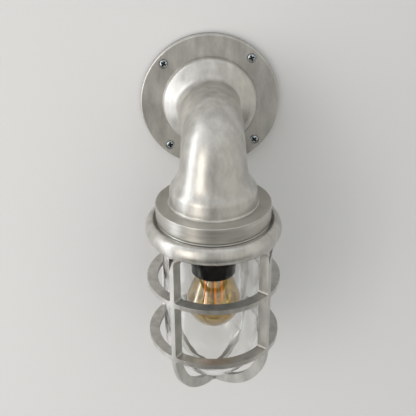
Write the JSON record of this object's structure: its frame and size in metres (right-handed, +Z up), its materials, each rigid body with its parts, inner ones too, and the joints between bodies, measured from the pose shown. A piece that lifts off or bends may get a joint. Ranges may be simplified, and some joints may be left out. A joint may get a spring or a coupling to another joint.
{
  "type": "bulkhead wall light",
  "caption": "Cast aluminium bulkhead wall light: elbow on a round wall flange, caged glass jar hanging down, amber globe lamp in a black lampholder",
  "frame": {"origin": "centre of the wall face, on the back of the flange's gasket; the wall is the plane y = 0", "axes": "+Y points into the wall, +Z up, +X to the right seen from the room; the lamp axis is vertical at x = 0, y = -76 mm"},
  "size_m": [0.114, 0.155, 0.2862],
  "materials": {
    "cast_aluminium": "cast, ground and satin polished",
    "gasket_rubber": "matt moulded",
    "zinc_steel": "bright zinc plated",
    "sheet_steel": "zinc plated sheet",
    "white_plastic": "moulded",
    "brass": "turned and pressed",
    "tinned_brass": "tinned",
    "earth_insulation": "extruded, green and yellow",
    "live_insulation": "extruded, brown",
    "neutral_insulation": "extruded, blue",
    "black_plastic": "glossy moulded thermoset",
    "porcelain": "glazed",
    "nickel_brass": "nickel plated",
    "black_glass": "pressed vitrite",
    "amber_glass": "blown, amber tinted, clear",
    "clear_glass": "pressed, clear",
    "led_filament": "phosphor silicone coat"
  },
  "bodies": {
    "fixture": {"elbow_casting": "cast_aluminium", "wall_gasket": "gasket_rubber", "wall_screws": "zinc_steel", "cable_grommet": "gasket_rubber", "terminal_bracket": "sheet_steel", "bracket_screws": "zinc_steel", "terminal_block": "white_plastic", "terminal_screws": "brass", "block_screws": "zinc_steel", "earth_tag": "tinned_brass", "earth_screw": "brass", "earth_wire": "earth_insulation", "live_wire": "live_insulation", "neutral_wire": "neutral_insulation", "bell_gasket": "gasket_rubber", "gallery_collar": "cast_aluminium", "gallery_screws": "zinc_steel", "holder_nipple": "brass", "nipple_locknut": "brass", "holder_cap": "black_plastic", "holder_skirt": "black_plastic", "holder_insert": "porcelain", "holder_terminals": "brass", "holder_shell": "brass", "holder_contact": "brass", "jar_gasket": "gasket_rubber"},
    "bulb": {"bulb_screw_cap": "nickel_brass", "bulb_insulator": "black_glass", "bulb_tip": "nickel_brass", "bulb_globe": "amber_glass", "bulb_stem": "clear_glass", "bulb_filaments": "led_filament", "bulb_leads": "nickel_brass"},
    "jar": {"glass_jar": "clear_glass", "guard_pad": "gasket_rubber"},
    "guard": {"cage_guard": "cast_aluminium"}
  },
  "joints": [
    {"name": "guard_lower", "type": "slide", "parent": "fixture", "child": "jar", "axis": [0, 0, -1], "range_m": [0, 0.175]},
    {"name": "guard_turn", "type": "hinge", "parent": "jar", "child": "guard", "pos_m": [0, -0.076, -0.074], "axis": [0, 0, -1], "range_deg": [0, 1080]},
    {"name": "bulb_out", "type": "slide", "parent": "fixture", "child": "bulb", "axis": [0, 0, -1], "range_m": [0, 0.026]}
  ]
}
